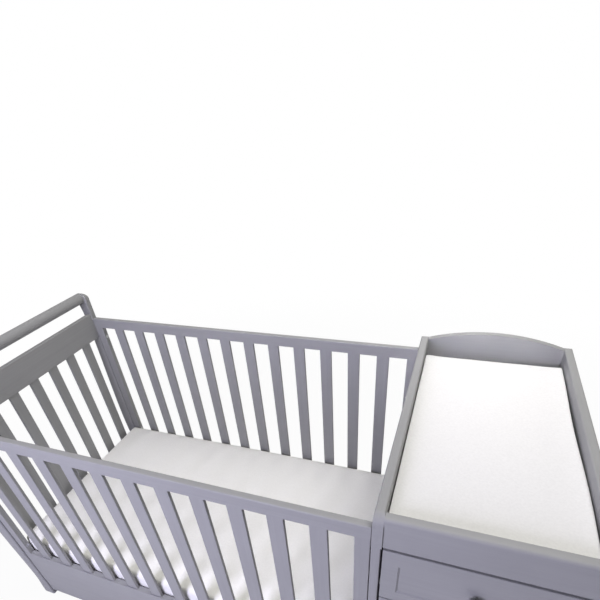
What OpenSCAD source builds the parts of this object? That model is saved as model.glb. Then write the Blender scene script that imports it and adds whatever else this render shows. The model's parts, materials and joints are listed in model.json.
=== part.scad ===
// Crib with an attached changer: a slatted cot whose right end is a drawer cabinet
// with a changing tray on top. +X runs along the crib to the cabinet, +Y to the back.

/* [Crib] */
// Clear length of the mattress space
crib_l = 1330; // [1200:5:1400]
// Clear width of the mattress space
crib_w = 715; // [640:1:760]
// Height of the long top rails above the floor
rail_top = 927; // [860:1:1000]

/* [Long panels] */
// Thickness of the long panels' rails and stiles
panel_t = 19; // [16:1:24]
// Height of a long panel's top rail
rail_h = 38.5; // [32:0.5:60]
// Width of a long panel's stiles
stile_w = 35; // [28:1:50]
// Slats in a long panel
slat_n = 12; // [10:1:13]
// Width of a long panel's slats
slat_w = 41.2; // [30:0.2:44]
// Thickness of every slat
slat_t = 9.5; // [8:0.5:14]
// Height of the bottom board
board_h = 267.5; // [200:0.5:300]
// Space between the floor and the bottom board
board_lift = 27; // [20:1:60]
// Rounding along the rails' top edges
rail_r = 4; // [1:0.5:6]
// Open seam between a long panel and what it is bolted to
seam = 1.5; // [0.5:0.25:3]

/* [Left end] */
// Height of the posts above the long top rails
post_rise = 107.5; // [95:0.5:150]
// Reach of a post at its foot, outwards from the mattress space
foot_out = 53; // [49:0.5:70]
// Reach of a post at its ankle, the lower narrow place
ankle_out = 40; // [36:0.5:48]
// Height of the ankle above the floor
ankle_z = 116; // [80:1:160]
// Reach of a post at its belly, the wide place below the middle
belly_out = 52; // [46:0.5:65]
// Height of the belly above the floor
belly_z = 422; // [360:1:480]
// Reach of a post at its neck, the narrow place beside the long rails
neck_out = 39.5; // [36:0.5:48]
// Height of the neck above the long top rails
neck_rise = 10; // [0:1:20]
// Reach of a post at its round head
head_out = 49; // [46:0.5:60]
// Thickness of the posts, which stand out past the faces of the long panels
post_t = 25; // [21:0.5:26]
// Rounding along the posts' long edges
post_r = 6; // [2:0.5:8]
// Radius of the corner between a post's head and the handrail, seen from the side
corner_r = 27; // [24:1:34]
// Diameter of the round handrail
handrail_d = 41.5; // [36:0.5:46]
// Thickness of the wide board and the bottom rail of the end
end_t = 19; // [16:1:22]
// Height of the wide board
wide_h = 104.5; // [80:0.5:130]
// Height of the wide board's top edge above the long top rails
wide_rise = 19.5; // [5:0.5:30]
// Distance of the end's inner face from the posts' inner edges
end_set = 4; // [2:0.5:8]
// Slats in the end
end_slat_n = 7; // [6:1:7]
// Width of the end's slats
end_slat_w = 40; // [30:1:44]
// Height of the end's bottom rail
end_rail_h = 100; // [50:1:200]
// Height of the end's bottom rail's top edge above the floor
end_rail_top = 294.5; // [270:0.5:340]

/* [Mattress] */
// Mattress thickness
mattress_h = 127; // [90:1:150]
// Height of the mattress's upper face below the long top rails
mattress_drop = 565.5; // [540:0.5:600]
// Gap between the mattress and the front panel
mattress_gap_front = 4.5; // [4.5:0.5:12]
// Gap between the mattress and the back panel
mattress_gap_back = 9; // [4.5:0.5:12]
// Gap between the mattress and the crib's ends
mattress_gap_end = 7.5; // [6:0.5:14]
// Rounding of the mattress's edges
mattress_r = 35; // [20:1:38]
// Height of the support frame's bars
bar_h = 38; // [30:1:50]
// Width of the support frame's bars
bar_w = 22; // [18:1:30]
// Slats across the support frame
support_n = 9; // [7:1:12]
// Width of a support slat
support_w = 60; // [40:1:80]
// Thickness of a support slat
support_t = 8; // [6:0.5:12]
// Distance of the support frame from the crib's ends
bar_gap = 6; // [4:0.5:12]
// Distance of the outermost support slats from the frame's ends
support_set = 10; // [2:1:30]
// Thickness of the steel support brackets
bracket_t = 2.5; // [1.5:0.5:3]
// Width of a support bracket
bracket_w = 30; // [24:1:32]
// Reach of a support bracket's shelf
bracket_reach = 40; // [30:1:60]
// Height of a support bracket above the bars
bracket_rise = 60; // [40:1:90]

/* [Changer] */
// Width of the changer over its tray's sides
changer_w = 421; // [400:1:520]
// Thickness of the tray's sides and front rail
tray_t = 22; // [19:1:28]
// Height of the tray's sides above the long top rails
tray_rise = 32; // [20:0.5:45]
// Depth of the tray's sides below the long top rails
tray_drop = 56; // [50:1:80]
// How far the front rail's lower edge lies above the tray sides' lower edges
apron_lift = 3; // [0:0.5:6]
// How far the tray stands out in front of the crib's long panel
tray_front = 2; // [0:0.5:10]
// How far the tray stands out behind the crib's long panel
tray_back = 15.5; // [10:0.5:40]
// Distance of the front rail's face behind the tray sides' front ends
rail_set = 3; // [0:0.5:6]
// Rounding of the front rail's front top edge
rail_nose = 8; // [4:1:12]
// Radius of the tray sides' front top corners
tray_corner_r = 27; // [10:1:35]
// Thickness of the arched back board
arch_t = 19; // [16:1:22]
// Height of the arch's ends above the long top rails
arch_end = 31; // [26:0.5:45]
// Height of the arch's crown above its ends
arch_crown = 31; // [20:0.5:60]
// Thickness of the tray's floor
floor_t = 12; // [9:1:15]
// Thickness of the changing pad
pad_h = 48; // [35:1:60]
// Gap between the pad and the tray's sides
pad_gap = 2; // [2:0.5:8]
// Gap between the pad and the arched back board
pad_back_gap = 36; // [10:1:60]
// Rounding of the pad's edges
pad_r = 10; // [4:1:16]

/* [Cabinet] */
// Thickness of the cabinet's sides
side_t = 20; // [16:1:22]
// Distance of the cabinet's front behind the tray's front
cabinet_set = 2; // [0:0.5:6]
// Thickness of the back panel
back_t = 4; // [3:0.5:6]
// Distance of the back panel inside the cabinet's back edges
back_set = 6; // [3:0.5:12]
// Thickness of the cabinet's bottom
bottom_t = 16; // [12:1:20]
// Height of the cabinet bottom's upper face above the floor
base_h = 117; // [100:1:140]
// Thickness of the cabinet's rails
cross_t = 18; // [16:1:22]
// Width of the stretchers under the tray
stretcher_w = 60; // [40:1:90]

/* [Drawers] */
// Gap around each drawer's front
reveal = 4.5; // [3:0.5:6]
// Height of the top drawer's front
top_front_h = 174; // [140:1:200]
// Thickness of a drawer's front
front_t = 19; // [16:1:22]
// Width of the plain border beside and below a front's recessed field
border = 34; // [25:1:50]
// Width of the plain border above a front's recessed field
border_top = 44; // [25:1:50]
// Depth of a front's recessed field
recess = 3; // [1.5:0.5:4]
// Width of the sloped edge around the recessed field
bevel = 4; // [2:0.5:6]
// Depth of a drawer's box behind its front
box_l = 480; // [470:5:600]
// Thickness of a drawer box's sides and back
box_t = 12; // [10:1:15]
// Height of a front's edge below its box
box_lift = 18; // [14:1:24]
// Distance of a box's top edge below its front's top edge
box_low = 30; // [24:1:50]
// Thickness of a drawer's bottom sheet
sheet_t = 4; // [3:0.5:6]
// Height of the bottom sheet above its box's lower edge
sheet_lift = 8; // [6:1:14]
// Depth of the groove that holds the bottom sheet
groove = 5; // [3:0.5:6]
// Travel of a drawer
drawer_travel = 330; // [200:5:345]
// Length of a slide that stays in its runner when the drawer is open
slide_hold = 130; // [90:5:135]
// Diameter of a drawer's knob
knob_d = 32; // [26:1:38]
// How far a knob stands out of its front
knob_out = 25; // [20:1:30]
// Diameter of the stud that holds a knob
stud_d = 4.5; // [4:0.5:6]

/* [Hardware] */
// Diameter of the bolts that join the long panels to the ends
bolt_d = 6; // [5:0.5:8]
// Diameter of the bolt heads
bolt_head_d = 13; // [11:0.5:14]
// Height of the bolt heads, which sit sunk in the stiles
bolt_head_h = 3; // [2:0.5:5]
// Distance of the upper bolts below the long top rails
bolt_high = 83; // [60:1:120]
// Distance of the lower bolts below the long top rails
bolt_low = 591; // [570:1:610]
// Diameter of the heads of the brackets' screws
screw_head_d = 9; // [7:0.5:11]
// Height of the heads of the brackets' screws
screw_head_h = 1.8; // [1.2:0.2:3]
// Length of the bolts' thread in an end
bolt_bite = 15; // [10:0.5:17]
// Height of the drawer runners
runner_h = 22; // [18:1:26]
// Thickness of the runners' steel
runner_t = 1.5; // [1:0.25:2]
// Space between a drawer box and the cabinet's side
runner_gap = 12.5; // [12:0.5:15]

/* [Hidden] */
$fn = 48;

front_colour = [0.60, 0.59, 0.64];
steel_colour = [0.72, 0.73, 0.75];
white_colour = [0.94, 0.94, 0.95];
board_colour = [0.82, 0.80, 0.76];

// Small fits and edge roundings
hair = 0.3;
soft_gap = 0.5;
edge_r = 2;
hole_play = 0.3;

// The part's own origin: the middle of its box, knobs and all, on the floor
mid_x = (crib_l + changer_w - foot_out) / 2;
front_y = -panel_t - tray_front;
back_y = crib_w + panel_t + tray_back;
cabinet_y = front_y + cabinet_set;
mid_y = (min(front_y, cabinet_y + recess - knob_out) + back_y) / 2;

// Long panels
slat_gap = (crib_l - 2 * stile_w - slat_n * slat_w) / (slat_n + 1);
board_top = board_lift + board_h;
slat_len = rail_top - rail_h - board_top;

// Left end
post_top = rail_top + post_rise;
head_r = head_out / 2;
head_z = post_top - head_r;
neck_z = rail_top + neck_rise;
foot_z = 9;
handrail_r = handrail_d / 2;
handrail_x = -head_out + handrail_r + 1;
handrail_z = post_top - handrail_r - 0.5;
wide_top = rail_top + wide_rise;
end_slat_len = wide_top - wide_h - end_rail_top;
end_slat_pitch = (crib_w - end_slat_n * end_slat_w) / (end_slat_n + 1) + end_slat_w;
end_mid_x = -end_set - end_t / 2;

// Mattress and its support
mattress_top = rail_top - mattress_drop;
mattress_base = mattress_top - mattress_h;
support_top = mattress_base - soft_gap;
bar_top = support_top - support_t;

// Tray
changer_x = crib_l;
tray_base = rail_top - tray_drop;
tray_top = rail_top + tray_rise;
tray_in = changer_w - 2 * tray_t;
arch_r = (tray_in * tray_in / 4 + arch_crown * arch_crown) / (2 * arch_crown);
front_rail_y = front_y + rail_set;
pad_base = tray_base + floor_t + soft_gap;

// Cabinet
cabinet_back_y = back_y - cabinet_set;
back_panel_y = cabinet_back_y - back_set - back_t;
cabinet_in_x = changer_x + side_t;
cabinet_in_w = changer_w - 2 * side_t;
knob_x = changer_x + changer_w / 2;
stretcher_y = cabinet_y + front_t + 1;

// Drawers, from the top down
lower_front_h = (tray_base - base_h - top_front_h - 4 * reveal) / 2;
front_w = cabinet_in_w - 2 * reveal;
box_w = cabinet_in_w - 2 * runner_gap;
box_x = cabinet_in_x + runner_gap;
box_y = cabinet_y + front_t;
upper_z = tray_base - reveal - top_front_h;
middle_z = upper_z - reveal - lower_front_h;
lower_z = middle_z - reveal - lower_front_h;

// Runners: a channel on the cabinet's side, a flanged angle on the drawer's side, and two rollers
runner_l = drawer_travel + slide_hold;
runner_y = box_y + 4;
channel_w = runner_gap - 2 * runner_t;
channel_low = 0.3 * runner_h;
leaf_h = 0.55 * runner_h;
flange_w = runner_gap - 3 * runner_t;
axle_d = 3;
roller_w = 4;
roller_set = 1;
slide_wheel_d = runner_h - 2 * runner_t - 2 * hair;
slide_wheel_z = runner_h / 2 - channel_low;
runner_wheel_d = leaf_h - runner_t + channel_low - runner_t - 3 * hair;
runner_wheel_z = leaf_h - runner_t + channel_low - hair - runner_wheel_d / 2;

// Outline with four round corners, its low corner on the origin
module rounded(w, h, r) {
  translate([r, 0]) square([w - 2 * r, h]);
  translate([0, r]) square([w, h - 2 * r]);
  for (x = [r, w - r])
    for (y = [r, h - r])
      translate([x, y]) circle(r);
}

// Outline with two round corners at the top
module round_top(w, h, r) {
  translate([r, 0]) square([w - 2 * r, h]);
  square([w, h - r]);
  for (x = [r, w - r]) translate([x, h - r]) circle(r);
}

// Turns an outline drawn in Y and Z into a bar along X
module along_x(l) {
  rotate([90, 0, 90]) linear_extrude(l) children();
}

// Turns an outline drawn in X and Z into a board whose thickness runs along +Y
module along_y(l) {
  translate([0, l, 0]) rotate([90, 0, 0]) linear_extrude(l) children();
}

// Board standing on edge along X, with its two top edges rounded
module rail_x(l, t, h, r) {
  along_x(l) round_top(t, h, r);
}

// Board standing on edge along Y, with its two top edges rounded
module rail_y(l, t, h, r) {
  along_y(l) round_top(t, h, r);
}

// Upright slat or stile with all its long edges rounded
module upright(w, t, h, r) {
  linear_extrude(h) rounded(w, t, r);
}

module painted() {
  color(front_colour) place() children();
}

// Moves a piece from the crib's corner to the part's own origin
module place() {
  translate([-mid_x, -mid_y, 0]) children();
}

// Cylinder along X
module bar_x(d, l) {
  rotate([0, 90, 0]) cylinder(d = d, h = l);
}

// ---- Left end ----

// Smooth step from 0 to 1
function ease(t) = (1 - cos(180 * min(1, max(0, t)))) / 2;

// Value between two reaches as the height goes from z0 to z1
function sweep(z, z0, z1, a, b) = a + (b - a) * ease((z - z0) / (z1 - z0));

// Reach of a post's outer edge at a height
function post_out(z) =
  z < ankle_z ? sweep(z, foot_z, ankle_z, foot_out, ankle_out)
  : z < belly_z ? sweep(z, ankle_z, belly_z, ankle_out, belly_out)
  : z < neck_z ? sweep(z, belly_z, neck_z, belly_out, neck_out)
  : sweep(z, neck_z, head_z, neck_out, head_out);

// How far a round of radius r has drawn in, a height h above where it starts
function draw_in(r, h) = h <= 0 ? 0 : r - sqrt(max(0, r * r - h * h));

// Section of a post at height z: a rounded rectangle from x = -out to x = -in,
// and from the outer face y = face to y = post_t
function post_ring(z) =
  let (
    cap = draw_in(head_r, z - head_z),
    x0 = -post_out(z) + cap,
    x1 = -cap,
    y0 = draw_in(corner_r, z - post_top + corner_r),
    y1 = post_t,
    r = min(post_r, (x1 - x0) / 2 - 0.05, (y1 - y0) / 2 - 0.05)
  )
  [for (k = [0:3], a = [0:22.5:90])
    let (
      cx = (k == 0 || k == 3) ? x1 - r : x0 + r,
      cy = k < 2 ? y1 - r : y0 + r
    )
    [cx + r * cos(a + 90 * k), cy + r * sin(a + 90 * k), z]];

// The round corner leaves a wall of post_tip at the very top of a post
post_tip = 2.5;
tip_z = post_top - corner_r + sqrt(corner_r * corner_r - pow(corner_r - post_t + post_tip, 2));
tip_angle = asin((tip_z - head_z) / head_r);
post_heights = concat(
  [0, foot_z / 2],
  [for (i = [0:36]) foot_z + i * (head_z - foot_z) / 36],
  [for (i = [1:8]) head_z + head_r * sin(i * tip_angle / 8)]
);

// Skin through a list of rings with the same number of points
module loft(rings) {
  n = len(rings[0]);
  m = len(rings);
  points = [for (ring = rings) each ring];
  walls = [for (i = [0:m - 2], j = [0:n - 1])
    [i * n + j, (i + 1) * n + j, (i + 1) * n + (j + 1) % n, i * n + (j + 1) % n]];
  base = [for (j = [0:n - 1]) j];
  top = [for (j = [n - 1:-1:0]) (m - 1) * n + j];
  polyhedron(points, concat(walls, [base], [top]));
}

// Curved post with its outer face on y = 0 and its inner face on y = post_t
module post() {
  difference() {
    loft([for (z = post_heights) post_ring(z)]);
    for (drop = [bolt_high, bolt_low])
      translate([-bolt_bite - 1, post_t - panel_t / 2, rail_top - drop]) bar_x(bolt_d + hole_play, bolt_bite + 2);
  }
}

module left_front_post() {
  painted() translate([0, -post_t, 0]) post();
}

module left_back_post() {
  painted() translate([0, crib_w + post_t, 0]) mirror([0, 1, 0]) post();
}

// Round bar between the posts' heads, trimmed by the same corner round as the posts
module end_handrail() {
  painted() intersection() {
    translate([handrail_x, crib_w, handrail_z]) rotate([90, 0, 0]) cylinder(d = handrail_d, h = crib_w, $fn = 96);
    translate([-2 * head_out, -post_t, post_top - 4 * corner_r]) along_x(4 * head_out)
      round_top(crib_w + 2 * post_t, 4 * corner_r, corner_r);
  }
}

module end_wide_board() {
  painted() translate([-end_set - end_t, 0, wide_top - wide_h]) rail_y(crib_w, end_t, wide_h, rail_r);
}

module end_slats() {
  painted() for (i = [0:end_slat_n - 1]) {
    y = crib_w / 2 + (i - (end_slat_n - 1) / 2) * end_slat_pitch;
    translate([end_mid_x - slat_t / 2, y - end_slat_w / 2, end_rail_top])
      upright(slat_t, end_slat_w, end_slat_len, edge_r);
  }
}

module end_bottom_rail() {
  painted() translate([-end_set - end_t, 0, end_rail_top - end_rail_h])
    rail_y(crib_w, end_t, end_rail_h, edge_r);
}

// ---- Long panels ----

// Top rail with its back on y = 0
module long_top_rail() {
  translate([seam, 0, rail_top - rail_h]) rail_x(crib_l - 2 * seam, panel_t, rail_h, rail_r);
}

// Left stile between the bottom board and the top rail, drilled for its bolts and their sunk heads
module stile() {
  difference() {
    translate([seam, 0, board_top]) upright(stile_w - seam, panel_t, slat_len, edge_r);
    for (drop = [bolt_high, bolt_low]) translate([0, panel_t / 2, rail_top - drop]) {
      bar_x(bolt_d + hole_play, stile_w);
      translate([stile_w - bolt_head_h, 0, 0]) bar_x(bolt_head_d + hole_play, bolt_head_h + 1);
    }
  }
}

module long_slats() {
  for (i = [0:slat_n - 1])
    translate([stile_w + slat_gap + i * (slat_w + slat_gap), (panel_t - slat_t) / 2, board_top])
      upright(slat_w, slat_t, slat_len, edge_r);
}

module long_board() {
  translate([seam, 0, board_lift]) along_x(crib_l - 2 * seam) rounded(panel_t, board_h, edge_r);
}

// Puts a piece of a long panel in the front panel
module at_front() {
  painted() translate([0, -panel_t, 0]) children();
}

// Puts a piece of a long panel in the back panel
module at_back() {
  painted() translate([0, crib_w, 0]) children();
}

module front_top_rail() { at_front() long_top_rail(); }
module front_left_stile() { at_front() stile(); }
module front_right_stile() { at_front() translate([crib_l, 0, 0]) mirror([1, 0, 0]) stile(); }
module front_slats() { at_front() long_slats(); }
module front_bottom_board() { at_front() long_board(); }
module back_top_rail() { at_back() long_top_rail(); }
module back_left_stile() { at_back() stile(); }
module back_right_stile() { at_back() translate([crib_l, 0, 0]) mirror([1, 0, 0]) stile(); }
module back_slats() { at_back() long_slats(); }
module back_bottom_board() { at_back() long_board(); }

// ---- Bolts ----

// Bolt along +X with a low round head and a hex socket, its head's seat on x = 0
module bolt(l) {
  difference() {
    union() {
      translate([-bolt_head_h, 0, 0]) bar_x(bolt_head_d, bolt_head_h);
      bar_x(bolt_d, l);
    }
    translate([-bolt_head_h - 1, 0, 0]) rotate([0, 90, 0]) cylinder(d = bolt_d * 0.7, h = bolt_head_h, $fn = 6);
  }
}

// Two bolts in each of the right stiles, which end at x = 0
module four_bolts() {
  for (y = [-panel_t / 2, crib_w + panel_t / 2])
    for (drop = [bolt_high, bolt_low])
      translate([bolt_head_h - stile_w, y, rail_top - drop]) bolt(stile_w - bolt_head_h + bolt_bite);
}

module left_bolts() {
  color(steel_colour) place() mirror([1, 0, 0]) four_bolts();
}

module right_bolts() {
  color(steel_colour) place() translate([crib_l, 0, 0]) four_bolts();
}

// ---- Mattress support ----

bar_x0 = bracket_t + bar_gap;
bar_y0 = bracket_t + hair;

module support_side_bars() {
  color(board_colour) place() for (y = [bar_y0, crib_w - bar_y0 - bar_w])
    translate([bar_x0, y, bar_top - bar_h]) cube([crib_l - 2 * bar_x0, bar_w, bar_h]);
}

module support_end_bars() {
  color(board_colour) place() for (x = [bar_x0, crib_l - bar_x0 - bar_w])
    translate([x, bar_y0 + bar_w, bar_top - bar_h]) cube([bar_w, crib_w - 2 * (bar_y0 + bar_w), bar_h]);
}

module support_slats() {
  first = bar_x0 + support_set;
  pitch = (crib_l - 2 * first - support_w) / (support_n - 1);
  color(board_colour) place() for (i = [0:support_n - 1])
    translate([first + i * pitch, bar_y0, bar_top]) cube([support_w, crib_w - 2 * bar_y0, support_t]);
}

// Steel angle: an upright leaf on the stile's inner face and a shelf under the side bar
module bracket() {
  low = bar_top - bar_h - bracket_t;
  translate([0, 0, low]) cube([bracket_w, bracket_t, bar_h + bracket_rise]);
  translate([0, 0, low]) cube([bracket_w, bracket_reach, bracket_t]);
}

module support_brackets() {
  color(steel_colour) place() for (x = [bar_gap, crib_l - bar_gap - bracket_w]) {
    translate([x, 0, 0]) bracket();
    translate([x, crib_w, 0]) mirror([0, 1, 0]) bracket();
  }
}

// Pan-head screws that hold the brackets' upright leaves
module support_screws() {
  color(steel_colour) place() for (x = [bar_gap, crib_l - bar_gap - bracket_w], rise = [bracket_rise / 3, bracket_rise * 5 / 6]) {
    at = [x + bracket_w / 2, bracket_t, bar_top + rise];
    translate(at) rotate([-90, 0, 0]) cylinder(d = screw_head_d, h = screw_head_h);
    translate([at[0], crib_w - bracket_t, at[2]]) rotate([90, 0, 0]) cylinder(d = screw_head_d, h = screw_head_h);
  }
}

// Block with every edge rounded by the same radius
module cushion(l, w, h, r) {
  intersection() {
    linear_extrude(h) rounded(l, w, r);
    along_x(l) rounded(w, h, r);
    along_y(w) rounded(l, h, r);
  }
}

module mattress() {
  color(white_colour) place() translate([mattress_gap_end, mattress_gap_front, mattress_base])
    cushion(crib_l - 2 * mattress_gap_end, crib_w - mattress_gap_front - mattress_gap_back, mattress_h, mattress_r);
}

// ---- Cabinet ----

// Side panel with its outer face on x = 0
module cabinet_side() {
  translate([0, cabinet_y, 0]) upright(side_t, cabinet_back_y - cabinet_y, tray_base, edge_r);
}

module cabinet_left_side() {
  painted() difference() {
    translate([changer_x, 0, 0]) cabinet_side();
    for (y = [-panel_t / 2, crib_w + panel_t / 2])
      for (drop = [bolt_high, bolt_low])
        translate([changer_x - 1, y, rail_top - drop]) bar_x(bolt_d + hole_play, bolt_bite + 2);
  }
}

module cabinet_right_side() {
  painted() translate([changer_x + changer_w - side_t, 0, 0]) cabinet_side();
}

// Board between the cabinet's sides
module cross_board(y, z, l, h) {
  translate([cabinet_in_x, y, z]) cube([cabinet_in_w, l, h]);
}

module cabinet_back() {
  color(board_colour) place() cross_board(back_panel_y, board_lift, back_t, tray_base - board_lift);
}

module cabinet_bottom() {
  painted() cross_board(cabinet_y + cross_t, base_h - bottom_t, back_panel_y - cabinet_y - cross_t, bottom_t);
}

module cabinet_base_rail() {
  painted() translate([cabinet_in_x, cabinet_y, board_lift]) along_x(cabinet_in_w)
    rounded(cross_t, base_h - board_lift, edge_r);
}

module cabinet_front_stretcher() {
  painted() cross_board(stretcher_y, tray_base - cross_t, stretcher_w, cross_t);
}

module cabinet_back_stretcher() {
  painted() cross_board(back_panel_y - stretcher_w, tray_base - cross_t, stretcher_w, cross_t);
}

// ---- Tray ----

// Side of the tray with its outer face on x = 0: rounded front top corner, soft top edges
module tray_side() {
  l = back_y - front_y;
  h = tray_top - tray_base;
  translate([0, front_y, tray_base]) intersection() {
    along_x(tray_t) union() {
      translate([tray_corner_r, 0]) square([l - tray_corner_r - edge_r, h]);
      square([l, h - tray_corner_r]);
      translate([l - edge_r - 1, 0]) square([1 + edge_r, h - edge_r]);
      translate([tray_corner_r, h - tray_corner_r]) circle(tray_corner_r, $fn = 96);
      translate([l - edge_r, h - edge_r]) circle(edge_r);
    }
    rail_y(l, tray_t, h, rail_r);
  }
}

module tray_left_side() {
  painted() translate([changer_x, 0, 0]) tray_side();
}

module tray_right_side() {
  painted() translate([changer_x + changer_w - tray_t, 0, 0]) tray_side();
}

module tray_front_rail() {
  h = tray_top - tray_base - apron_lift;
  painted() translate([changer_x + tray_t, front_rail_y, tray_base + apron_lift]) along_x(tray_in) union() {
    translate([rail_nose, 0]) square([tray_t - rail_nose - edge_r, h]);
    square([tray_t, h - rail_nose]);
    translate([tray_t - edge_r - 1, 0]) square([1 + edge_r, h - edge_r]);
    translate([rail_nose, h - rail_nose]) circle(rail_nose);
    translate([tray_t - edge_r, h - edge_r]) circle(edge_r);
  }
}

module tray_arched_back() {
  h = rail_top + arch_end + arch_crown - tray_base;
  painted() translate([changer_x + tray_t, back_y - arch_t, tray_base]) along_y(arch_t) intersection() {
    square([tray_in, h]);
    translate([tray_in / 2, h - arch_r]) circle(arch_r, $fn = 360);
  }
}

module tray_floor() {
  y0 = front_rail_y + tray_t;
  color(board_colour) place() translate([changer_x + tray_t, y0, tray_base])
    cube([tray_in, back_y - arch_t - y0, floor_t]);
}

module changing_pad() {
  y0 = front_rail_y + tray_t + pad_gap;
  color(white_colour) place() translate([changer_x + tray_t + pad_gap, y0, pad_base])
    cushion(tray_in - 2 * pad_gap, back_y - arch_t - pad_back_gap - y0, pad_h, pad_r);
}

// ---- Drawers ----

// Front with a recessed field, its low corner on the drawer opening's corner
module drawer_front(z, h) {
  field_w = front_w - 2 * border;
  field_h = h - border - border_top;
  painted() translate([cabinet_in_x + reveal, cabinet_y, z]) difference() {
    along_x(front_w) rounded(front_t, h, edge_r);
    hull() {
      translate([border, -1, border]) cube([field_w, 1, field_h]);
      translate([border + bevel, 0, border + bevel]) cube([field_w - 2 * bevel, recess, field_h - 2 * bevel]);
    }
    translate([front_w / 2, -1, h / 2]) rotate([-90, 0, 0]) cylinder(d = stud_d + 2 * hole_play, h = front_t + 2);
    translate([box_x - cabinet_in_x - reveal + box_t - groove, front_t - groove, box_lift + sheet_lift])
      cube([box_w - 2 * (box_t - groove), groove + 1, sheet_t]);
  }
}

function box_h(h) = h - box_lift - box_low;

// Side of a drawer's box with the groove for its bottom on the side that faces +X
module box_side(z, h) {
  translate([0, box_y, z + box_lift]) difference() {
    cube([box_t, box_l, box_h(h)]);
    translate([box_t - groove, -1, sheet_lift]) cube([groove + 1, box_l + 2, sheet_t]);
  }
}

module drawer_left_side(z, h) {
  color(board_colour) place() translate([box_x, 0, 0]) box_side(z, h);
}

module drawer_right_side(z, h) {
  color(board_colour) place() translate([box_x + box_w, 0, 0]) mirror([1, 0, 0]) box_side(z, h);
}

// Back of a drawer's box, standing on the bottom sheet
module drawer_back(z, h) {
  lift = sheet_lift + sheet_t;
  color(board_colour) place() translate([box_x + box_t, box_y + box_l - box_t, z + box_lift + lift])
    cube([box_w - 2 * box_t, box_t, box_h(h) - lift]);
}

module drawer_bottom(z) {
  w = box_w - 2 * (box_t - groove) - 2 * hair;
  color(board_colour) place()
    translate([box_x + (box_w - w) / 2, box_y - groove + hair, z + box_lift + sheet_lift])
      cube([w, box_l + groove - hair, sheet_t]);
}

// Round knob on a waisted neck; its seat is on z = 0 and it stands up +Z
module knob_body() {
  r = knob_d / 2;
  cap_h = 0.4 * knob_out;
  cap_r = (r * r + cap_h * cap_h) / (2 * cap_h);
  rim_z = knob_out - cap_h;
  rotate_extrude($fn = 64) {
    intersection() {
      translate([0, knob_out - cap_r]) circle(cap_r, $fn = 180);
      translate([0, rim_z]) square([r, cap_h]);
    }
    polygon([[0, 0], [0.55 * r, 0], [0.4 * r, 0.3 * rim_z], [0.4 * r, 0.6 * rim_z], [r, rim_z], [0, rim_z]]);
  }
}

// Knob with the stud that passes through the front, and the nut on the stud
module knob() {
  seat = front_t - recess;
  nut_h = 3;
  knob_body();
  translate([0, 0, -seat - nut_h - 1]) cylinder(d = stud_d, h = seat + nut_h + 1);
  translate([0, 0, -seat - nut_h]) difference() {
    cylinder(d = 2 * stud_d, h = nut_h, $fn = 6);
    translate([0, 0, -1]) cylinder(d = stud_d + hole_play, h = nut_h + 2);
  }
}

module drawer_knob(z, h) {
  painted() translate([knob_x, cabinet_y + recess, z + h / 2]) rotate([90, 0, 0]) knob();
}

// Steel angle on a box side: its leaf and its shelf under the side
module slide_angle() {
  translate([-runner_t, -runner_t]) square([runner_t, leaf_h + runner_t]);
  translate([-runner_t, -runner_t]) square([box_t, runner_t]);
}

// Flange of a slide that rides on the runner's roller
module slide_flange() {
  translate([-flange_w, leaf_h - runner_t]) square([flange_w, runner_t]);
}

// Wheel on a fixed axle, its axle starting on x = 0
module roller(d) {
  bar_x(axle_d, flange_w - runner_t);
  translate([roller_set, 0, 0]) difference() {
    bar_x(d, roller_w);
    translate([-1, 0, 0]) bar_x(axle_d + hole_play, roller_w + 2);
  }
}

// Left slide of a drawer, its origin at the foot of the box side, with a roller at its back end
module slide() {
  along_y(runner_l) slide_angle();
  along_y(runner_l - slide_wheel_d - 8) slide_flange();
  translate([-runner_t, runner_l - slide_wheel_d / 2, slide_wheel_z]) mirror([1, 0, 0]) roller(slide_wheel_d);
}

module drawer_slides(z) {
  color(steel_colour) place() {
    translate([box_x, runner_y, z + box_lift]) slide();
    translate([box_x + box_w, runner_y, z + box_lift]) mirror([1, 0, 0]) slide();
  }
}

// Steel channel on the cabinet's side, open towards the drawer
module runner_channel() {
  square([runner_t, runner_h]);
  square([channel_w, runner_t]);
  translate([0, runner_h - runner_t]) square([channel_w, runner_t]);
}

// Left runner, with a roller at its front end under the slide's flange
module runner() {
  along_y(runner_l) runner_channel();
  translate([runner_t, runner_wheel_d / 2 + 2, runner_wheel_z]) roller(runner_wheel_d);
}

module drawer_runners() {
  color(steel_colour) place() for (z = [upper_z, middle_z, lower_z]) {
    low = z + box_lift - channel_low;
    translate([cabinet_in_x, runner_y, low]) runner();
    translate([cabinet_in_x + cabinet_in_w, runner_y, low]) mirror([1, 0, 0]) runner();
  }
}

module upper_drawer_front() { drawer_front(upper_z, top_front_h); }
module upper_drawer_left_side() { drawer_left_side(upper_z, top_front_h); }
module upper_drawer_right_side() { drawer_right_side(upper_z, top_front_h); }
module upper_drawer_back() { drawer_back(upper_z, top_front_h); }
module upper_drawer_bottom() { drawer_bottom(upper_z); }
module upper_drawer_knob() { drawer_knob(upper_z, top_front_h); }
module upper_drawer_slides() { drawer_slides(upper_z); }

module middle_drawer_front() { drawer_front(middle_z, lower_front_h); }
module middle_drawer_left_side() { drawer_left_side(middle_z, lower_front_h); }
module middle_drawer_right_side() { drawer_right_side(middle_z, lower_front_h); }
module middle_drawer_back() { drawer_back(middle_z, lower_front_h); }
module middle_drawer_bottom() { drawer_bottom(middle_z); }
module middle_drawer_knob() { drawer_knob(middle_z, lower_front_h); }
module middle_drawer_slides() { drawer_slides(middle_z); }

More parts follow.
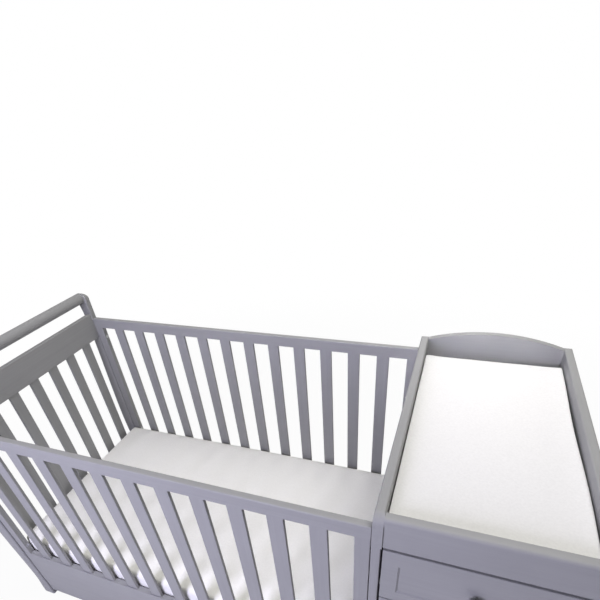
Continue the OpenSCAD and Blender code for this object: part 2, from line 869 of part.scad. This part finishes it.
module lower_drawer_front() { drawer_front(lower_z, lower_front_h); }
module lower_drawer_left_side() { drawer_left_side(lower_z, lower_front_h); }
module lower_drawer_right_side() { drawer_right_side(lower_z, lower_front_h); }
module lower_drawer_back() { drawer_back(lower_z, lower_front_h); }
module lower_drawer_bottom() { drawer_bottom(lower_z); }
module lower_drawer_knob() { drawer_knob(lower_z, lower_front_h); }
module lower_drawer_slides() { drawer_slides(lower_z); }

left_front_post();
left_back_post();
end_handrail();
end_wide_board();
end_slats();
end_bottom_rail();
front_top_rail();
front_left_stile();
front_right_stile();
front_slats();
front_bottom_board();
back_top_rail();
back_left_stile();
back_right_stile();
back_slats();
back_bottom_board();
left_bolts();
right_bolts();
support_side_bars();
support_end_bars();
support_slats();
support_brackets();
support_screws();
mattress();
cabinet_left_side();
cabinet_right_side();
cabinet_back();
cabinet_bottom();
cabinet_base_rail();
cabinet_front_stretcher();
cabinet_back_stretcher();
tray_left_side();
tray_right_side();
tray_front_rail();
tray_arched_back();
tray_floor();
changing_pad();
drawer_runners();
upper_drawer_front();
upper_drawer_left_side();
upper_drawer_right_side();
upper_drawer_back();
upper_drawer_bottom();
upper_drawer_knob();
upper_drawer_slides();
middle_drawer_front();
middle_drawer_left_side();
middle_drawer_right_side();
middle_drawer_back();
middle_drawer_bottom();
middle_drawer_knob();
middle_drawer_slides();
lower_drawer_front();
lower_drawer_left_side();
lower_drawer_right_side();
lower_drawer_back();
lower_drawer_bottom();
lower_drawer_knob();
lower_drawer_slides();
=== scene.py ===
# %% [markdown]
# A grey painted crib with a changer at its right end, dressed and lit.
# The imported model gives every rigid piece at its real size. This script sets the camera that took the
# photograph, paints the wood, plates the steel, and makes the two soft pieces, which the model only holds
# a place for: the sheeted mattress and the padded changing pad.

# %% Load the frame
import json
import math
import bpy
import numpy as np
from mathutils import Matrix, Vector


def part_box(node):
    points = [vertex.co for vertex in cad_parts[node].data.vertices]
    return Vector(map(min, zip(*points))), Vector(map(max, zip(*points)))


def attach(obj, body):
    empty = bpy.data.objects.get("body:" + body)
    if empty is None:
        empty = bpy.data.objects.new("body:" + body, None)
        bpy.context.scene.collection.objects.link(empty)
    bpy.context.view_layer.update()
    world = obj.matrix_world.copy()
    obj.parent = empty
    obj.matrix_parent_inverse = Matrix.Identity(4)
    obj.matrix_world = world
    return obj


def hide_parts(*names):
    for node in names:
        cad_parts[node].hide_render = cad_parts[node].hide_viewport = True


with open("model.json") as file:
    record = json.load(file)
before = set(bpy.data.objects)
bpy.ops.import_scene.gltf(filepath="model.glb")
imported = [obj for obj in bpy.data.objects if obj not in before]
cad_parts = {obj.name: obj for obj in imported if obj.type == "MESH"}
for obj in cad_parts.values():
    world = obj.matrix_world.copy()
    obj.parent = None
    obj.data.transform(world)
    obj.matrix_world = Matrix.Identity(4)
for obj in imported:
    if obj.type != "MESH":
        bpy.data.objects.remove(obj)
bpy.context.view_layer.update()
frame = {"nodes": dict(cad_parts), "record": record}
MM = 0.001

# %% [markdown]
# The photograph was taken from above the front right of the crib with a wide lens, so its lines run strongly
# together. A camera can be guessed by eye, or found by matching straight edges in the picture. These numbers
# were found from the edges of the rails, slats, tray and mattress: a place, three turns, a focal length and the
# point where the lens axis meets the picture. That point lies well below the picture's middle, as in a picture
# cropped from a taller one. Blender could render the taller picture and crop it too, but the camera's shift
# says the same in two numbers.

# %% Camera
PICTURE = 600
FOCAL_PX = 427.1
AXIS_PX = (287.2, 423.2)
SENSOR_MM = 36.0
YAW, PITCH, ROLL = math.radians(24.29), math.radians(37.95), math.radians(6.14)
CAMERA_AT = Vector((0.5657, -0.9086, 1.6181))
CLIP_NEAR, CLIP_FAR = 0.05, 50


def camera_turn(yaw, pitch, roll):
    """Columns right, up and back. Yaw turns left of +Y, pitch looks down, roll turns about the view's line."""
    forward = Vector((-math.sin(yaw) * math.cos(pitch), math.cos(yaw) * math.cos(pitch), -math.sin(pitch)))
    level = Vector((math.cos(yaw), math.sin(yaw), 0))
    below = forward.cross(level)
    right = level * math.cos(roll) + below * math.sin(roll)
    up = level * math.sin(roll) - below * math.cos(roll)
    return Matrix((right, up, -forward)).transposed()


camera_data = bpy.data.cameras.new("camera")
camera_data.sensor_width = SENSOR_MM
camera_data.lens = FOCAL_PX / PICTURE * SENSOR_MM
camera_data.shift_x = (PICTURE / 2 - AXIS_PX[0]) / PICTURE
camera_data.shift_y = (AXIS_PX[1] - PICTURE / 2) / PICTURE
camera_data.clip_start, camera_data.clip_end = CLIP_NEAR, CLIP_FAR
camera = bpy.data.objects.new("camera", camera_data)
camera.matrix_world = Matrix.Translation(CAMERA_AT) @ camera_turn(YAW, PITCH, ROLL).to_4x4()
bpy.context.scene.collection.objects.link(camera)
bpy.context.scene.camera = camera
bpy.context.scene.view_settings.view_transform = "Standard"
print("lens mm:", round(camera_data.lens, 2))

# %% [markdown]
# A finish could be painted as an image or made of nodes. Nodes need no files and stay sharp from close by, so
# every finish here is made of them. Four helpers keep them short: one turns the hex colours that people write
# into the linear values that light is worked out in, one adds a node with its settings and links, one starts
# a material, and one mixes two colours into it.

# %% Helpers for materials
def linear(hex_colour):
    """sRGB hex to linear RGBA: v/12.92 below 0.04045, else ((v + 0.055)/1.055)^2.4."""
    values = [int(hex_colour[i:i + 2], 16) / 255 for i in (1, 3, 5)]
    return [v / 12.92 if v <= 0.04045 else ((v + 0.055) / 1.055) ** 2.4 for v in values] + [1.0]


def node(tree, kind, links=None, **settings):
    """Adds a node; settings that are fields of the node fill those, and the others fill the input so named."""
    made = tree.nodes.new(kind)
    for name, value in settings.items():
        if hasattr(made, name):
            setattr(made, name, value)
        else:
            made.inputs[name.replace("_", " ")].default_value = value
    for name, source in (links or {}).items():
        tree.links.new(source, made.inputs[name])
    return made


def finish_named(name, **shader):
    """A material with one Principled shader. Returns the material, its tree, the shader and Object space."""
    made = bpy.data.materials.new(name)
    made.use_nodes = True
    tree = made.node_tree
    surface = tree.nodes["Principled BSDF"]
    for key, value in shader.items():
        surface.inputs[key.replace("_", " ")].default_value = value
    place = node(tree, "ShaderNodeTexCoord")
    return made, tree, surface, place.outputs["Object"]


def two_colours(tree, surface, factor, first, second):
    """The shader's colour runs from the first hex colour to the second as the factor runs from 0 to 1."""
    shade = node(tree, "ShaderNodeMix", {"Factor": factor}, data_type="RGBA")
    shade.inputs[6].default_value = linear(first)
    shade.inputs[7].default_value = linear(second)
    tree.links.new(shade.outputs[2], surface.inputs["Base Color"])


# %% [markdown]
# The crib is wood under a sprayed enamel with a low sheen. One flat grey would do from far away, but such paint
# hides the grain's colour and not all of its relief: faint pores and streaks run along each board, under the
# fine orange peel of the spray. A board that lies along X needs another stretch of this pattern than an upright
# one, so the enamel is made once for each direction. Its gloss is lower than ordinary enamel has, because that
# matched the photograph's even greys best.

# %% Grey enamel on wood
PAINT = "#8C8C8C"
PAINT_PALE = "#A2A2A2"
PEEL_MM = 1.6
PORE_MM = 2.2
PORE_STRETCH = 40
CLOUD_MM = 180
STREAK_MM = 8


def grey_enamel(along):
    """Sprayed enamel: two near greys in soft clouds and faint streaks along the grain; relief of peel plus
    pores stretched the same way."""
    made, tree, surface, place = finish_named("sprayed_grey_enamel_" + "xyz"[along], Roughness=0.52,
                                              Specular_IOR_Level=0.3, Coat_Weight=0.03, Coat_Roughness=0.35)
    cloud = node(tree, "ShaderNodeTexNoise", {"Vector": place}, Scale=1 / (CLOUD_MM * MM), Detail=3.0)
    squeeze = node(tree, "ShaderNodeMapping", {"Vector": place})
    squeeze.inputs["Scale"].default_value = [1 / PORE_STRETCH if axis == along else 1 for axis in range(3)]
    grain = squeeze.outputs["Vector"]
    streak = node(tree, "ShaderNodeTexNoise", {"Vector": grain}, Scale=1 / (STREAK_MM * MM), Detail=2.0)
    both = node(tree, "ShaderNodeMix", {2: cloud.outputs["Fac"], 3: streak.outputs["Fac"]}, data_type="FLOAT")
    two_colours(tree, surface, both.outputs[0], PAINT, PAINT_PALE)
    pores = node(tree, "ShaderNodeTexNoise", {"Vector": grain}, Scale=1 / (PORE_MM * MM), Detail=3.0)
    relief = node(tree, "ShaderNodeBump", {"Height": pores.outputs["Fac"]}, Strength=0.5, Distance=0.0006)
    peel = node(tree, "ShaderNodeTexNoise", {"Vector": place}, Scale=1 / (PEEL_MM * MM), Detail=2.0)
    bump = node(tree, "ShaderNodeBump", {"Height": peel.outputs["Fac"], "Normal": relief.outputs["Normal"]},
                Strength=0.12, Distance=0.0002)
    tree.links.new(bump.outputs["Normal"], surface.inputs["Normal"])
    return made


# %% [markdown]
# The drawer boxes are board with a pale matt foil, the drawer bottoms and the cabinet's back are hardboard, and
# the mattress support is planed softwood, left bare. The photograph shows none of them, so these are the usual
# materials of such furniture. Flat colours would be shorter still, but a wide face of one colour looks like
# plastic, so each has a faint pattern of its own.

# %% Boards and bare wood
FOIL, FOIL_PALE = "#CFCBC4", "#DAD7D1"
HARDBOARD, HARDBOARD_PALE = "#8D8B92", "#A19FA6"
PINE, PINE_PALE = "#C9A77C", "#DBC09A"
RING_SQUEEZE = 0.12


def foil_board():
    """Matt foil: one pale colour with a faint mottle."""
    made, tree, surface, place = finish_named("matt_foil_on_board", Roughness=0.6)
    mottle = node(tree, "ShaderNodeTexNoise", {"Vector": place}, Scale=90.0, Detail=4.0)
    two_colours(tree, surface, mottle.outputs["Fac"], FOIL, FOIL_PALE)
    return made


def grey_hardboard():
    """Hardboard: short dark fibres in a grey sheet."""
    made, tree, surface, place = finish_named("grey_hardboard", Roughness=0.7)
    fibre = node(tree, "ShaderNodeTexNoise", {"Vector": place}, Scale=400.0, Detail=5.0, Distortion=2.0)
    two_colours(tree, surface, fibre.outputs["Fac"], HARDBOARD, HARDBOARD_PALE)
    bump = node(tree, "ShaderNodeBump", {"Height": fibre.outputs["Fac"]}, Strength=0.2, Distance=0.0004)
    tree.links.new(bump.outputs["Normal"], surface.inputs["Normal"])
    return made


def planed_pine():
    """Planed pine: growth rings as wide bands that wander with a slow noise, drawn out along Y."""
    made, tree, surface, place = finish_named("planed_pine", Roughness=0.55)
    squeeze = node(tree, "ShaderNodeMapping", {"Vector": place})
    squeeze.inputs["Scale"].default_value = (1.0, RING_SQUEEZE, 1.0)
    rings = node(tree, "ShaderNodeTexWave", {"Vector": squeeze.outputs["Vector"]}, Scale=22.0, Distortion=9.0,
                 Detail=3.0, wave_type="RINGS")
    two_colours(tree, surface, rings.outputs["Fac"], PINE, PINE_PALE)
    return made


# %% [markdown]
# Bolts, brackets and runners are steel with a thin zinc plate: silvery, a little milky, not polished. One
# roughness all over would be simpler, but plate is cloudy, so a slow noise moves it.

# %% Zinc plate on steel
ZINC = "#C3C4C6"
ZINC_SMOOTH, ZINC_ROUGH = 0.28, 0.48


def zinc_plate():
    """Zinc plate: metal with a cloudy roughness."""
    made, tree, surface, place = finish_named("zinc_plated_steel", Metallic=1.0)
    surface.inputs["Base Color"].default_value = linear(ZINC)
    cloud = node(tree, "ShaderNodeTexNoise", {"Vector": place}, Scale=160.0, Detail=3.0)
    rough = node(tree, "ShaderNodeMapRange", {"Value": cloud.outputs["Fac"]})
    rough.inputs["To Min"].default_value = ZINC_SMOOTH
    rough.inputs["To Max"].default_value = ZINC_ROUGH
    tree.links.new(rough.outputs["Result"], surface.inputs["Roughness"])
    return made


# %% [markdown]
# The mattress wears a fitted white cotton sheet and the pad a smooth white cover. Plain weave is far finer than
# a picture this size can show, and modelled threads would be lost in it. So the weave is a crossing of two
# waves that only softens the light. What does show is that cloth is never one even white: fine flecks of two
# near whites and slow creases give it that.

# %% White cloth
THREAD_MM = 1.2
FLECK_MM = 5
WAVE_UNIT = 0.314  # Blender's wave repeats every 0.314 / Scale


def white_cloth(name, pale, deep, crease_mm, crease_strength):
    """Flecks of two near whites; relief of two crossed waves of one thread spacing, over soft creases from a
    slow noise."""
    made, tree, surface, place = finish_named(name, Roughness=0.9, Sheen_Weight=0.25, Sheen_Roughness=0.5)
    fleck = node(tree, "ShaderNodeTexNoise", {"Vector": place}, Scale=1 / (FLECK_MM * MM), Detail=2.0)
    two_colours(tree, surface, fleck.outputs["Fac"], deep, pale)
    warp, weft = [node(tree, "ShaderNodeTexWave", {"Vector": place}, bands_direction=direction,
                       Scale=WAVE_UNIT / (THREAD_MM * MM), Distortion=0.3) for direction in ("X", "Y")]
    weave = node(tree, "ShaderNodeMath", {0: warp.outputs["Fac"], 1: weft.outputs["Fac"]}, operation="ADD")
    fine = node(tree, "ShaderNodeBump", {"Height": weave.outputs[0]}, Strength=0.1, Distance=0.0002)
    crease = node(tree, "ShaderNodeTexNoise", {"Vector": place}, Scale=1 / (crease_mm * MM), Detail=2.0,
                  Distortion=0.6)
    bump = node(tree, "ShaderNodeBump", {"Height": crease.outputs["Fac"], "Normal": fine.outputs["Normal"]},
                Strength=crease_strength, Distance=0.004)
    tree.links.new(bump.outputs["Normal"], surface.inputs["Normal"])
    return made


# %% [markdown]
# Each piece takes the finish of its material slot. For the enamel the piece's own box could tell which way its
# boards run, but a row of upright slats makes a wide box. So the pieces of uprights are named here, and the
# others run along the longer side of their box.

# %% Give every model piece its finish
finishes = {
    "drawer_board": foil_board(),
    "hardboard": grey_hardboard(),
    "support_wood": planed_pine(),
    "zinc_steel": zinc_plate(),
    "mattress_cover": white_cloth("cotton_sheet", "#FFFEFA", "#F2F1ED", 90, 0.3),
    "pad_cover": white_cloth("pad_cover_cloth", "#F0EFEE", "#E2E1E0", 60, 0.2),
}
enamel = [grey_enamel(axis) for axis in range(3)]
UPRIGHT = ("post", "stile", "slats", "cabinet_left_side", "cabinet_right_side")
slot_of = {part["node"]: part["material_slot"] for part in frame["record"]["subparts"]}
for name, piece in frame["nodes"].items():
    low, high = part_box(name)
    along = 2 if name.endswith(UPRIGHT) else 0 if high.x - low.x > high.y - low.y else 1
    for slot in piece.material_slots:
        slot.material = enamel[along] if slot_of[name] == "grey_paint" else finishes[slot_of[name]]
print("finished pieces:", len(slot_of))

# %% [markdown]
# The mattress and the pad are soft, and a plain block with round edges looks hard. They could be sculpted, or
# blown up as cloth. Cloth gives every edge and face the small unevenness of a stuffed cover by itself, but left
# alone it swells far past the crib's slats: the free move that is printed says how far. So each piece starts as
# a block of even squares close to its room in the model, is blown up for twenty steps, and then every point is
# brought back to within a few millimetres of its start and inside its room. The top stays nearly flat, and the
# sides keep the swell they were given.

# %% Soft pieces
EDGE_STEPS = 6
CLOTH_STEPS = 20
CLOTH_QUALITY, CLOTH_MASS, CLOTH_STIFFNESS = 5, 0.25, 0.6
PRESSURE = 3.0
SLACK = 0.012
NO_MOVE = 1e-9


def points(piece):
    """The places of a piece's points, one row each."""
    at = np.empty(len(piece.data.vertices) * 3)
    piece.data.vertices.foreach_get("co", at)
    return at.reshape(-1, 3)


def set_points(piece, at):
    """Moves a piece's points to the rows of at."""
    piece.data.vertices.foreach_set("co", at.ravel())
    piece.data.update()


def settle(piece):
    """Applies every modifier by taking the shape that it makes."""
    bpy.context.view_layer.update()
    shape = bpy.data.meshes.new_from_object(piece.evaluated_get(bpy.context.evaluated_depsgraph_get()))
    piece.modifiers.clear()
    old, piece.data = piece.data, shape
    shape.name = piece.name
    bpy.data.meshes.remove(old)


def soft_block(name, low, high, edge, voxel, bulge):
    """Even-meshed block with edges of radius edge. Its sides -x, +x, -y, +y stand out by bulge at mid length,
    falling to nothing at the corners as 1 - t^2; a negative bulge draws a side in."""
    corners = [(x, y, z) for z in (low.z, high.z) for x, y in
               ((low.x, low.y), (high.x, low.y), (high.x, high.y), (low.x, high.y))]
    faces = [(3, 2, 1, 0), (4, 5, 6, 7), (0, 1, 5, 4), (1, 2, 6, 5), (2, 3, 7, 6), (3, 0, 4, 7)]
    mesh = bpy.data.meshes.new(name)
    mesh.from_pydata(corners, [], faces)
    piece = bpy.data.objects.new(name, mesh)
    bpy.context.scene.collection.objects.link(piece)
    bevel = piece.modifiers.new("edge", "BEVEL")
    bevel.width, bevel.segments, bevel.limit_method = edge, EDGE_STEPS, "NONE"
    cut = piece.modifiers.new("even", "REMESH")
    cut.mode, cut.voxel_size, cut.use_smooth_shade = "VOXEL", voxel, True
    settle(piece)
    at = points(piece)
    middle, half = (low + high) / 2, (high - low) / 2
    u, v = (at[:, 0] - middle.x) / half.x, (at[:, 1] - middle.y) / half.y
    out_x = np.where(u < 0, bulge[0], bulge[1])
    out_y = np.where(v < 0, bulge[2], bulge[3])
    at[:, 0] += out_x * u * (1 - v ** 2)
    at[:, 1] += out_y * v * (1 - u ** 2)
    set_points(piece, at)
    return piece


def blow_up(piece, low, high, out, inward):
    """Cloth under pressure for CLOTH_STEPS. Then no point may be over out (or inward, against its starting
    normal) from its start, or outside the room from low to high."""
    start = points(piece)
    facing = np.empty(start.size)
    piece.data.vertices.foreach_get("normal", facing)
    facing = facing.reshape(-1, 3)
    cloth = piece.modifiers.new("cover", "CLOTH")
    cloth.settings.quality = CLOTH_QUALITY
    cloth.settings.mass = CLOTH_MASS
    cloth.settings.bending_stiffness = CLOTH_STIFFNESS
    cloth.settings.use_pressure = True
    cloth.settings.uniform_pressure_force = PRESSURE
    cloth.settings.shrink_min = -SLACK
    cloth.settings.effector_weights.gravity = 0
    scene = bpy.context.scene
    for step in range(1, CLOTH_STEPS + 1):
        scene.frame_set(step)
    settle(piece)
    scene.frame_set(1)
    moved = points(piece) - start
    length = np.linalg.norm(moved, axis=1, keepdims=True)
    cap = np.where((moved * facing).sum(axis=1, keepdims=True) < 0, inward, out)
    moved *= np.minimum(1, cap / np.maximum(length, NO_MOVE))
    at = np.clip(start + moved, np.array(low), np.array(high))
    set_points(piece, at)
    print(piece.name, "points", len(at), "largest free move mm", round(1000 * float(length.max()), 1))


def finish_soft(piece, node_name, body, slot):
    """One subdivision, smooth faces, and the words that tie the piece to the model."""
    smooth = piece.modifiers.new("smooth", "SUBSURF")
    smooth.levels = smooth.render_levels = 1
    settle(piece)
    piece.data.polygons.foreach_set("use_smooth", [True] * len(piece.data.polygons))
    piece.data.materials.clear()
    piece.data.materials.append(finishes[slot])
    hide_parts(node_name)
    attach(piece, body)


# %% [markdown]
# The mattress fills the crib: in the photograph its sheet touches the slats at the back and swells between
# them at the front. The model's block keeps a little more room, for the brackets in the corners, so here the
# two long sides swell past it at mid length. Along the front edge the sheet lies in shallow slanting folds.
# A bump in the material would shade them and leave the edge's outline straight, so they are in the shape.

# %% Mattress
START_IN = 0.001
MATTRESS_EDGE, MATTRESS_MESH = 0.008, 0.010
SWELL_END, SWELL_FRONT, SWELL_BACK = 0.001, 0.0025, 0.006
MATTRESS_OUT, MATTRESS_IN = 0.006, 0.0005
FOLD_DEPTH, FOLD_PITCH, FOLD_REACH = 0.006, 0.085, 0.09
FOLD_SLANT, FOLD_WANDER, WANDER_RATE = 0.7, 1.5, 7


def edge_folds(piece, front_y):
    """Lowers the top by depth e^(-d/reach) (1 + sin(a))/2 at distance d from the front, where
    a = 2 pi (x + slant d)/pitch + wander sin(rate x)."""
    at = points(piece)
    d = at[:, 1] - front_y
    wander = FOLD_WANDER * np.sin(WANDER_RATE * at[:, 0])
    angle = 2 * math.pi * (at[:, 0] + FOLD_SLANT * d) / FOLD_PITCH + wander
    middle = (at[:, 2].min() + at[:, 2].max()) / 2
    at[:, 2] -= FOLD_DEPTH * np.exp(-d / FOLD_REACH) * (1 + np.sin(angle)) / 2 * (at[:, 2] > middle)
    set_points(piece, at)


inwards = Vector((START_IN,) * 3)
low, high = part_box("mattress")
mattress = soft_block("sheeted_mattress", low + inwards, high - inwards, MATTRESS_EDGE, MATTRESS_MESH,
                      (SWELL_END, SWELL_END, SWELL_FRONT, SWELL_BACK))
blow_up(mattress, low - Vector((0, SWELL_FRONT, 0)), high + Vector((0, SWELL_BACK, 0)),
        MATTRESS_OUT, MATTRESS_IN)
edge_folds(mattress, low.y)
finish_soft(mattress, "mattress", "mattress", "mattress_cover")

# %% [markdown]
# The changing pad is firmer and fills its tray from side to side, so it starts a millimetre wider at each side
# than its block in the model. In the photograph it ends a little before the tray's back, and its right side
# wanders. Cloth alone gives such a side only by chance, and a slow wave puts it where the picture has it.

# %% Changing pad
PAD_FULLER, PAD_SHORTER = 0.001, 0.010
PAD_EDGE, PAD_MESH = 0.003, 0.005
DRAWN_FRONT, DRAWN_BACK = 0.001, 0.002
PAD_OUT, PAD_IN = 0.004, 0.001
WAVE_DEPTH, WAVE_PITCH, WAVE_AT = 0.004, 0.46, 0.06
WAVE_POWER = 6


def side_wave(piece):
    """Draws the right side in by depth (1 + cos(2 pi (y - at)/pitch))/2 u^power, where u runs from 0 at the
    middle to 1 at that side."""
    at = points(piece)
    middle, half = (at[:, 0].max() + at[:, 0].min()) / 2, (at[:, 0].max() - at[:, 0].min()) / 2
    u = np.clip((at[:, 0] - middle) / half, 0, 1)
    wave = 1 + np.cos(2 * math.pi * (at[:, 1] - WAVE_AT) / WAVE_PITCH)
    at[:, 0] -= WAVE_DEPTH * wave / 2 * u ** WAVE_POWER
    set_points(piece, at)


low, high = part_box("changing_pad")
low, high = low - Vector((PAD_FULLER, 0, 0)), high + Vector((PAD_FULLER, -PAD_SHORTER, 0))
pad = soft_block("soft_changing_pad", low, high, PAD_EDGE, PAD_MESH, (0, 0, -DRAWN_FRONT, -DRAWN_BACK))
blow_up(pad, low, high, PAD_OUT, PAD_IN)
side_wave(pad)
finish_soft(pad, "changing_pad", "changing_pad", "pad_cover")

# %% [markdown]
# The studio is a white room. A real one often has a cove, a floor that curves up into the wall, so that no edge
# shows. Here the floor glows white nearly all by itself, with a faint share left for the crib's shadow near it,
# and turns into plain white light a few steps away, which leaves no edge to hide. Gloss sees the same white
# room, dimmed, because a real room has darker things in it.

# %% Floor
FLOOR_HALF = 9.0
FLOOR_PAINT = "#E6E6E6"
WHITE_NEAR, WHITE_FAR = 1.3, 3.2
FLOOR_GLOW = 0.95
GLOSS_SHARE = 0.6


def white_for(tree):
    """How much of the plain white a ray sees: 1 for the camera, GLOSS_SHARE for gloss, 0 for the others.
    Returns the kinds of ray and that share."""
    path = node(tree, "ShaderNodeLightPath")
    gloss = node(tree, "ShaderNodeMath", {0: path.outputs["Is Glossy Ray"]}, operation="MULTIPLY")
    gloss.inputs[1].default_value = GLOSS_SHARE
    seen = node(tree, "ShaderNodeMath", {0: path.outputs["Is Camera Ray"], 1: gloss.outputs[0]},
                operation="MAXIMUM")
    return path, seen


def studio_floor():
    """A pale sheet that the camera and gloss see turn to white light with its distance from the crib."""
    mesh = bpy.data.meshes.new("studio_floor")
    corners = [(-1, -1), (1, -1), (1, 1), (-1, 1)]
    mesh.from_pydata([(x * FLOOR_HALF, y * FLOOR_HALF, 0) for x, y in corners], [], [(0, 1, 2, 3)])
    sheet = bpy.data.objects.new("studio_floor", mesh)
    bpy.context.scene.collection.objects.link(sheet)
    made, tree, surface, place = finish_named("studio_floor_paint", Roughness=0.9)
    surface.inputs["Base Color"].default_value = linear(FLOOR_PAINT)
    path, seen = white_for(tree)
    away = node(tree, "ShaderNodeVectorMath", {0: place}, operation="LENGTH")
    fade = node(tree, "ShaderNodeMapRange", {"Value": away.outputs["Value"]}, interpolation_type="SMOOTHSTEP")
    fade.inputs["From Min"].default_value = WHITE_NEAR
    fade.inputs["From Max"].default_value = WHITE_FAR
    fade.inputs["To Min"].default_value = FLOOR_GLOW
    share = node(tree, "ShaderNodeMath", {0: fade.outputs["Result"], 1: seen.outputs[0]}, operation="MULTIPLY")
    white = node(tree, "ShaderNodeEmission", Strength=1.0)
    both = node(tree, "ShaderNodeMixShader", {0: share.outputs[0], 1: surface.outputs[0], 2: white.outputs[0]})
    tree.links.new(both.outputs[0], tree.nodes["Material Output"].inputs["Surface"])
    mesh.materials.append(made)
    return sheet


studio_floor()
print("floor: plain white from", WHITE_FAR, "m on; gloss sees", GLOSS_SHARE, "of the white")

# %% [markdown]
# Above the floor the room is white too. A white world could light the crib by itself, but from everywhere
# alike, and the photograph's greys differ from face to face. So only the camera, gloss and rays through clear
# things see it white, and the matt part of each surface gets its light from the lamps.

# %% Sky
world = bpy.data.worlds.new("white_room")
bpy.context.scene.world = world
world.use_nodes = True
sky = world.node_tree
path, seen = white_for(sky)
seen = node(sky, "ShaderNodeMath", {0: seen.outputs[0], 1: path.outputs["Is Transmission Ray"]},
            operation="MAXIMUM")
sky.links.new(seen.outputs[0], sky.nodes["Background"].inputs["Strength"])
sky.nodes["Background"].inputs["Color"].default_value = (1, 1, 1, 1)

# %% [markdown]
# Lamps could be placed by eye. Here the crib was rendered once for each of ten trial lamps and once with none,
# and the strengths that come closest to the photograph's greys were solved from those pictures. The strengths
# below are that answer, rounded and then adjusted against the render. There is a wide bluish key at the
# front left with a weak one nearer, neutral light from above on both sides, and three narrow lamps that reach
# the far rail, the back of the tray and the arch. The lamp behind the crib is for whoever walks round it. It is
# no part of the answer, and in the photograph's view it lifts the mattress, the pad and the end's boards by a
# few greys.

# %% Lamps
BLUISH, NEUTRAL = "#E6E4FF", "#FFFEFA"
WIDE, NARROW, TIGHT = 180, 34, 16
CRIB_MIDDLE = (0, 0, 0.6)


def soft_lamp(name, at, aim, size, watts, colour, spread=WIDE):
    """A square area lamp at a place, turned to face a point; spread is the width of its beam in degrees."""
    data = bpy.data.lights.new(name, "AREA")
    data.size, data.energy, data.color = size, watts, linear(colour)[:3]
    data.spread = math.radians(spread)
    lamp = bpy.data.objects.new(name, data)
    turn = (Vector(aim) - Vector(at)).to_track_quat("-Z", "Y").to_matrix().to_4x4()
    lamp.matrix_world = Matrix.Translation(Vector(at)) @ turn
    bpy.context.scene.collection.objects.link(lamp)


soft_lamp("key", (-0.6, -2.4, 1.7), CRIB_MIDDLE, 1.2, 59.8, BLUISH)
soft_lamp("near_front", (-0.3, -1.6, 1.3), CRIB_MIDDLE, 0.7, 3, BLUISH)
soft_lamp("above_right", (1.0, 0.4, 3.2), CRIB_MIDDLE, 1.5, 47, NEUTRAL)
soft_lamp("above_left", (-1.0, 0.6, 3.2), CRIB_MIDDLE, 1.5, 12, NEUTRAL)
soft_lamp("behind", (0.4, 3.0, 1.9), CRIB_MIDDLE, 1.5, 14, NEUTRAL)
soft_lamp("back_board", (0.3, -1.6, 3.0), (0.3, 0.76, 1.15), 0.5, 0.8, BLUISH, NARROW)
soft_lamp("back_rail", (-0.3, -1.6, 3.0), (-0.4, 0.36, 0.9), 0.5, 0.35, NEUTRAL, NARROW)
soft_lamp("arch", (0.69, -1.9, 2.2), (0.69, 0.36, 1.02), 0.3, 0.3, NEUTRAL, TIGHT)
print("lamps:", len(bpy.data.lights))
